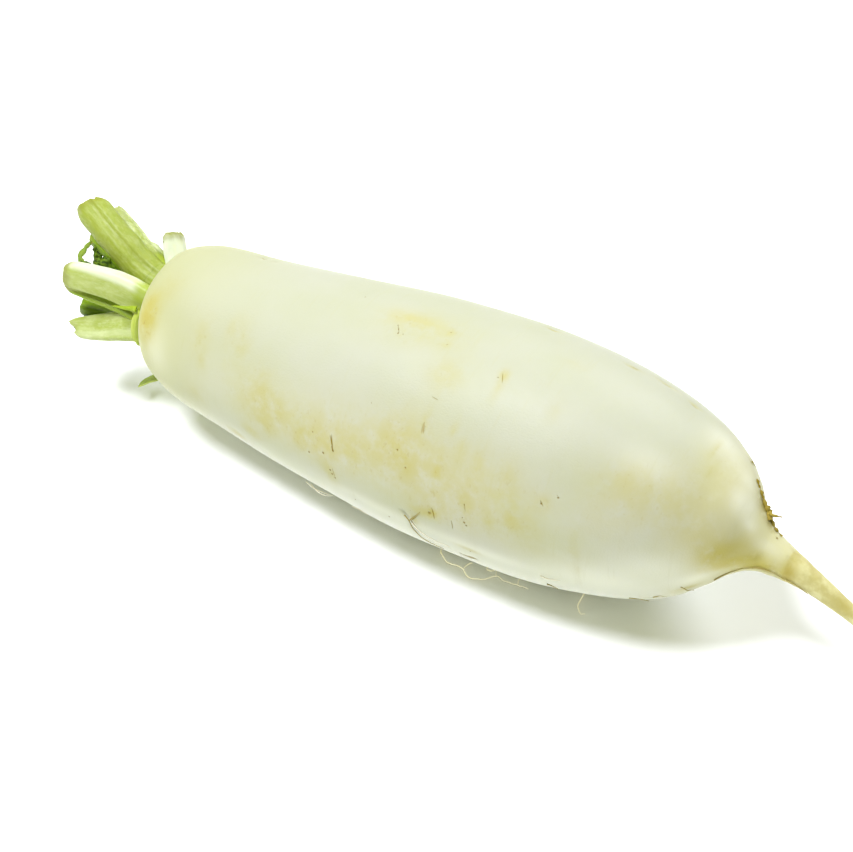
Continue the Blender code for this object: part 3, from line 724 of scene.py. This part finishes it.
def stalkFinish(name, length, looks, surface):
    finish = Finish(
        name + "_green", Roughness=0.45, Subsurface_Weight=0.2, Subsurface_Scale=0.002,
        Subsurface_Radius=(0.7, 1.0, 0.3), Specular_IOR_Level=0.25)
    grain = finish.painted("grain", "Vector")
    along, across = finish.part(grain, "Z"), finish.part(grain, "X")
    fibres = finish.cloud(grain, (1.3, 1.3, 0.05), 3.0, 0.6)
    blotches = finish.cloud(grain, (0.25, 0.25, 0.12), 3.0)
    mottle = finish.cloud(grain, (1.6, 1.6, 0.7), 3.0, 0.6)
    layers = []        # the strength and the tint of each, in the order they are laid on
    # painted highlight: a stripe across the width made near-white where the stalk catches the light
    if "highlightBand" in looks:
        low, high, strength = looks["highlightBand"]
        soft = 0.7 * (high - low)
        highlightBand = finish.rise(across + blotches, low, low + soft)
        highlightBand = highlightBand * finish.rise(across + blotches, high + soft, high)
        layers.append((highlightBand * strength, "highlightBand"))
    # pale mottle: partly the stalk's own pale blotches, partly painted glints of wet highlight
    if "paleMottleAndGlint" in looks:
        paleMottleAndGlint = finish.rise(finish.cloud(grain, (0.6, 0.6, 0.30), 5.0, 0.7), 0.42, 0.68)
        layers.append((paleMottleAndGlint * looks["paleMottleAndGlint"], "paleMottleAndGlint"))
    if "lip" in looks:
        layers.append((finish.rise(across + blotches, *looks["lip"]) * 0.8, "lip"))
    if "scar" in looks:
        offScar = along - looks["scar"]
        offScar = offScar.maths("ABSOLUTE", offScar)
        layers.append((finish.rise(offScar, 0.45, 0.1) * 0.4, "scar"))
    foot = finish.rise(along + blotches * 3, looks["foot"] + 4.5, looks["foot"])
    layers.append((foot * 0.85, "foot"))
    rim = finish.rise(along + blotches, length, length + 0.8)
    layers.append((rim * 0.45, "rim"))
    for spotAcross, spotDown, radius in looks.get("spots", []):
        mark = markAt(surface, spotAcross, spotDown)
        if mark:
            away = finish.away(mark[0], radius * mm)
            layers.append((finish.rise(away + mottle, 1.9, 0.9) * 0.8, "spot"))
    bruised = finish.rise(along + blotches * 5 + fibres * 2, length - 0.6, length + 3.4)
    layers.append((bruised * looks["bruise"], "bruise"))
    colours = finish.mix(finish.rise(fibres * 0.5 + blotches + mottle * 0.3, 0.65, 1.15),
                         colour(*looks["deep"]), colour(*looks["pale"]))
    for share, tint in layers:
        colours = finish.mix(share, colours, colour(*stalkTints[tint]))
    bump = finish.bump(fibres, 0.15 * mm)
    return finish.feed(Base_Color=colours, Roughness=0.38 + fibres * 0.16, Normal=bump)


for name, shape in stalkShapes.items():
    makeStalk(name, **shape)
print("crown: stalks")

# Young leaves in the middle of the crown: the path of each stem from the crown as (out, across, up)
# and about half the width of its blade, in mm
youngStems = [
    dict(path=[(-3, -3.2, -1.0), (14, -5.0, 4.6), (25, -9.2, 11.2), (30.5, -9.4, 14.2),
               (31.5, -5.6, 16.2), (31.6, -1.8, 17.4)], blade=0.9),
    dict(path=[(-3, -2.6, -1.6), (14, -3.2, 4.2), (24, -3.2, 9.6), (28.5, -3.0, 13.0),
               (30, -1.6, 16.2)], blade=1.2),
    dict(path=[(-3, -3.6, -2.4), (12, -5.0, 3.0), (22, -9.0, 11.0), (28, -12.0, 15.4)], blade=1.4),
    dict(path=[(-3, -2.0, -2.4), (13, -3.0, 3.6), (22, -5.4, 11.2), (27, -6.6, 13.2)], blade=2.6),
    dict(path=[(-3, -2.2, -2.0), (12, -2.4, 4.6), (20, -3.4, 11.0), (25, -3.6, 13.8)], blade=2.4)]
youngLeaf = dict(
    stemRadius=0.85, rows=70, sides=16, lobes=3, bladeFrom=0.45, faces=(0.0, -0.65, 0.64),
    budRadius=3.0, budLength=2.0, budPlace=(2.0, -2.8, -1.8), deep=(40, 62, 3), pale=(98, 124, 22),
    strand=(128, 150, 56))


def youngShoot(bm, path, blade, seed):
    line = [onCrown(point) for point in path]
    rows, sides, bladeFrom = youngLeaf["rows"], youngLeaf["sides"], youngLeaf["bladeFrom"]

    def place(row, turn):
        along = row / rows
        way = heading(line, along)
        side = way.cross(Vector(youngLeaf["faces"])).normalized()
        thick = way.cross(side)
        leafy = max(along - bladeFrom, 0.0) / (1 - bladeFrom)
        lobes = 0.35 + 0.65 * abs(math.sin(math.pi * youngLeaf["lobes"] * leafy))
        angle = 2 * math.pi * turn
        toEdge = math.cos(angle)
        nick = 1.0 + 0.45 * noise.noise(Vector((along * 22, seed + math.copysign(3, toEdge), 0)))
        halfWidth = youngLeaf["stemRadius"] * (0.9 - 0.35 * along)
        halfWidth += blade * 1.1 * lobes * nick * math.sin(math.pi * leafy * 0.94)
        halfDepth = youngLeaf["stemRadius"] * (1.0 - 0.75 * along) * (1 - 0.5 * leafy * abs(toEdge))
        curl = 0.5 * leafy * toEdge**2
        point = smooth(line, along) + side * halfWidth * toEdge * mm
        point += thick * (halfDepth * math.sin(angle) + curl) * mm
        return point, (halfWidth * toEdge, seed, along * 30)

    shoot = rollUp(rows, sides, place)
    mesh = bpy.data.meshes.new("shoot")
    shoot.to_mesh(mesh)
    shoot.free()
    bm.from_mesh(mesh)
    bpy.data.meshes.remove(mesh)


def makeYoungLeaves():
    bm = bmesh.new()
    bm.verts.layers.float_vector.new("grain")
    bmesh.ops.create_icosphere(bm, subdivisions=4, radius=youngLeaf["budRadius"] * mm)
    centre = onCrown(youngLeaf["budPlace"])
    for vert in bm.verts:
        vert.co = centre + Vector((youngLeaf["budLength"] * vert.co.x, vert.co.y, vert.co.z))
    for seed, shape in enumerate(youngStems):
        youngShoot(bm, shape["path"], shape["blade"], float(seed))
    finish = Finish(
        "young_leaf_green", Roughness=0.6, Subsurface_Weight=0.1, Subsurface_Scale=0.001,
        Specular_IOR_Level=0.1)
    grain = finish.painted("grain", "Vector")
    isStrand = finish.rise(finish.part(grain, "Y"), 0.9, 0.1)        # the first stem is paler
    veins = finish.cloud(grain, (1.2, 1.0, 0.4), 3.0)
    colours = finish.mix(finish.rise(veins, 0.35, 0.7), colour(*youngLeaf["deep"]),
                         colour(*youngLeaf["pale"]))
    colours = finish.mix(isStrand * 0.7, colours, colour(*youngLeaf["strand"]))
    material = finish.feed(Base_Color=colours, Normal=finish.bump(veins, 0.3 * mm))
    return toObject("fine_young_leaves", bm, material, "leaf_green", "young_leaves")


makeYoungLeaves()
print("crown: young leaves")

# Thin strands, by the photograph's pixels: the hairs that lie on the table beside the root, the
# pale shreds of skin and the dry creases at its lower edge, and the brown crust with its spike on
# the neck. Each route has its height in mm, for where it doesn't lie on the root. A strand thins
# towards its end, waves up and down in mm, and may be lumpy. A hair starts under the root, hidden
# that far in mm, unless it branches off another. A strand may carry a painted glow: an emission in
# its own colours that stands in for light it catches, strongest for the hairs on the table.
strands = dict(
    table=dict(radius=0.17, thins=0.6, waves=0.5, lumps=0.0, hidden=5.0, branches=[1], paintedGlow=0.5,
               light=(250, 244, 214), dark=(232, 220, 170), routes=[
        (0.9, [(441, 550), (443, 556), (446, 561), (451, 564), (456, 565), (463, 569), (467, 576),
               (475, 579), (485, 579), (496, 576), (503, 580), (510, 583), (518, 585), (524, 587),
               (528, 589)]),
        (0.9, [(472, 563), (467, 565), (463, 569)]),
        (0.9, [(487, 568), (491, 571), (496, 570), (496, 576)]),
        (0.9, [(519, 580), (518, 585)]),
        (0.9, [(583, 596), (578, 605), (579, 610), (581, 614), (585, 614)])]),
    shreds=dict(radius=0.17, thins=0.6, waves=0.2, lumps=0.0, paintedGlow=0.05,
                light=(250, 248, 232), dark=(234, 226, 196), routes=[
        (16.0, [(306, 482), (311, 486), (317, 490), (325, 493), (333, 496)]),
        (16.0, [(311, 484), (317, 491), (324, 495), (331, 496)]),
        (20.0, [(352, 506), (360, 510), (368, 515)]),
        (24.0, [(540, 576), (548, 579), (560, 581)]),
        (23.0, [(412, 523), (417, 529), (425, 535), (436, 541), (450, 547)])]),
    creases=dict(radius=0.2, thins=0.6, waves=0.2, lumps=0.0, paintedGlow=0.0,
                 light=(168, 158, 96), dark=(140, 126, 62), routes=[
        (25.0, [(404, 515), (407, 518), (409, 521), (412, 527), (417, 533), (424, 539), (433, 544),
                (444, 549)]),
        (25.0, [(409, 521), (414, 517), (420, 512)]),
        (12.0, [(547, 584), (552, 586), (558, 589)]),
        (16.0, [(629, 598), (638, 599), (649, 601)]),
        (23.5, [(653, 597), (660, 596), (667, 597)]),
        (29.0, [(681, 587), (687, 590), (694, 590)]),
        (34.5, [(714, 580), (722, 576), (731, 572), (741, 569), (752, 568)]),
        (36.0, [(752, 568), (763, 569), (775, 574), (785, 580)]),
        (32.0, [(786, 580), (797, 586), (808, 594)]),
        (58.5, [(752, 461), (756, 467)])]),
    crust=dict(radius=1.0, thins=0.85, waves=0.2, lumps=0.7, paintedGlow=0.0,
               light=(158, 144, 66), dark=(124, 106, 30), routes=[
        (50.0, [(770, 520), (768, 512), (765.5, 505), (763, 497), (760.5, 489), (757, 479)]),
        (48.0, [(767, 507), (769, 514), (772, 521), (776, 529), (782, 536)]),
        (49.0, [(767, 507), (769, 512), (772, 515), (776, 516), (782, 517)])]))


def aboveTable(across, down, height):        # where a pixel's ray comes down to a height
    way = sightLine(across, down)
    return camera.location + way * ((height - camera.location.z) / way.z)


def routePoints(number, height, route, hidden, branches):
    points = [aboveTable(across, down, height * mm) for across, down in route]
    if hidden is None:
        marks = [markAt(rootSkin, across, down) for across, down in route]
        return [mark[0] if mark else point for mark, point in zip(marks, points)]
    if number not in branches:
        points.insert(0, points[0] + Vector((0, hidden, 0.6)) * mm)
    return points


def makeStrands(kind, radius, thins, waves, lumps, paintedGlow, light, dark, routes,
                hidden=None, branches=()):
    curve = bpy.data.curves.new(kind, "CURVE")
    curve.dimensions = "3D"
    curve.bevel_depth = radius * mm
    curve.bevel_resolution = 2
    curve.use_fill_caps = True
    for number, (height, route) in enumerate(routes):
        points = routePoints(number, height, route, hidden, branches)
        steps = 4 * (len(points) - 1)
        spline = curve.splines.new("POLY")
        spline.points.add(steps)
        for index in range(steps + 1):
            place = smooth(points, index / steps)
            wave = waves * noise.noise(Vector((index * 0.35, number * 5.0, 0))) * mm
            lump = lumps * noise.noise(Vector((index * 0.6, number * 3.0, 2.0)))
            spline.points[index].co = (place.x, place.y, max(place.z + wave, 0.3 * mm), 1.0)
            spline.points[index].radius = 1.0 - thins * index / steps + lump
    made = bpy.data.objects.new(kind, curve)
    mesh = bpy.data.meshes.new_from_object(made)
    bpy.data.objects.remove(made)
    bm = bmesh.new()
    bm.from_mesh(mesh)
    # painted glow: emission in the strand's own colours, standing in for light it catches
    finish = Finish("dry_" + kind, Roughness=0.7, Emission_Strength=paintedGlow, Specular_IOR_Level=0.1)
    tint = finish.cloud(finish.place, (300.0, 300.0, 300.0), 2.0)
    colours = finish.mix(tint, colour(*light), colour(*dark))
    material = finish.feed(Base_Color=colours, Emission_Color=colours)
    return toObject("hairs_" + kind, bm, material, "root_skin")


for kind, strand in strands.items():
    makeStrands(kind, **strand)
print("root: hairs")

# The studio: a plain white floor, white surroundings and two large soft lights
studio = dict(
    floorHalf=3.0, floorTints=((250, 252, 247), (251, 253, 250)),
    surround=0.34, surroundTint=(1.0, 0.99, 0.60),
    lights=dict(
        key=dict(azimuth=-46.0, elevation=68.0, distance=1.3, size=0.5, power=23.2,
                 tint=(0.99, 0.99, 1.16)),
        back=dict(azimuth=166.0, elevation=46.0, distance=1.4, size=0.9, power=12.6,
                  tint=(0.97, 0.98, 1.16)),
        fill=dict(azimuth=60.0, elevation=20.0, distance=1.5, size=1.0, power=1.0,
                  tint=(1.0, 1.0, 1.0))))


def addStudio():
    bm = bmesh.new()
    bmesh.ops.create_grid(bm, x_segments=1, y_segments=1, size=studio["floorHalf"])
    mesh = bpy.data.meshes.new("floor")
    bm.to_mesh(mesh)
    bm.free()
    finish = Finish("white_floor", Roughness=0.9, Specular_IOR_Level=0.1)
    speckle = finish.cloud(finish.place, (40.0, 40.0, 40.0), 2.0)
    tints = [colour(*tint) for tint in studio["floorTints"]]
    finish.feed(Base_Color=finish.mix(speckle, *tints))
    mesh.materials.append(finish.material)
    floor = bpy.data.objects.new("floor", mesh)
    bpy.context.collection.objects.link(floor)
    world = bpy.data.worlds.new("studio")
    bpy.context.scene.world = world
    world.use_nodes = True
    background = world.node_tree.nodes["Background"]
    background.inputs["Color"].default_value = (*studio["surroundTint"], 1.0)
    background.inputs["Strength"].default_value = studio["surround"]
    for name, light in studio["lights"].items():
        lamp = bpy.data.lights.new(name, "AREA")
        lamp.shape = "DISK"
        lamp.size = light["size"]
        lamp.energy = light["power"]
        lamp.color = light["tint"]
        made = bpy.data.objects.new(name, lamp)
        azimuth, elevation = math.radians(light["azimuth"]), math.radians(light["elevation"])
        way = Vector((
            math.sin(azimuth) * math.cos(elevation), -math.cos(azimuth) * math.cos(elevation),
            math.sin(elevation)))
        made.location = way * light["distance"]
        made.rotation_euler = way.to_track_quat("Z", "Y").to_euler()
        bpy.context.collection.objects.link(made)
    bpy.context.scene.view_settings.view_transform = "Standard"


addStudio()
print("studio: floor and lights")
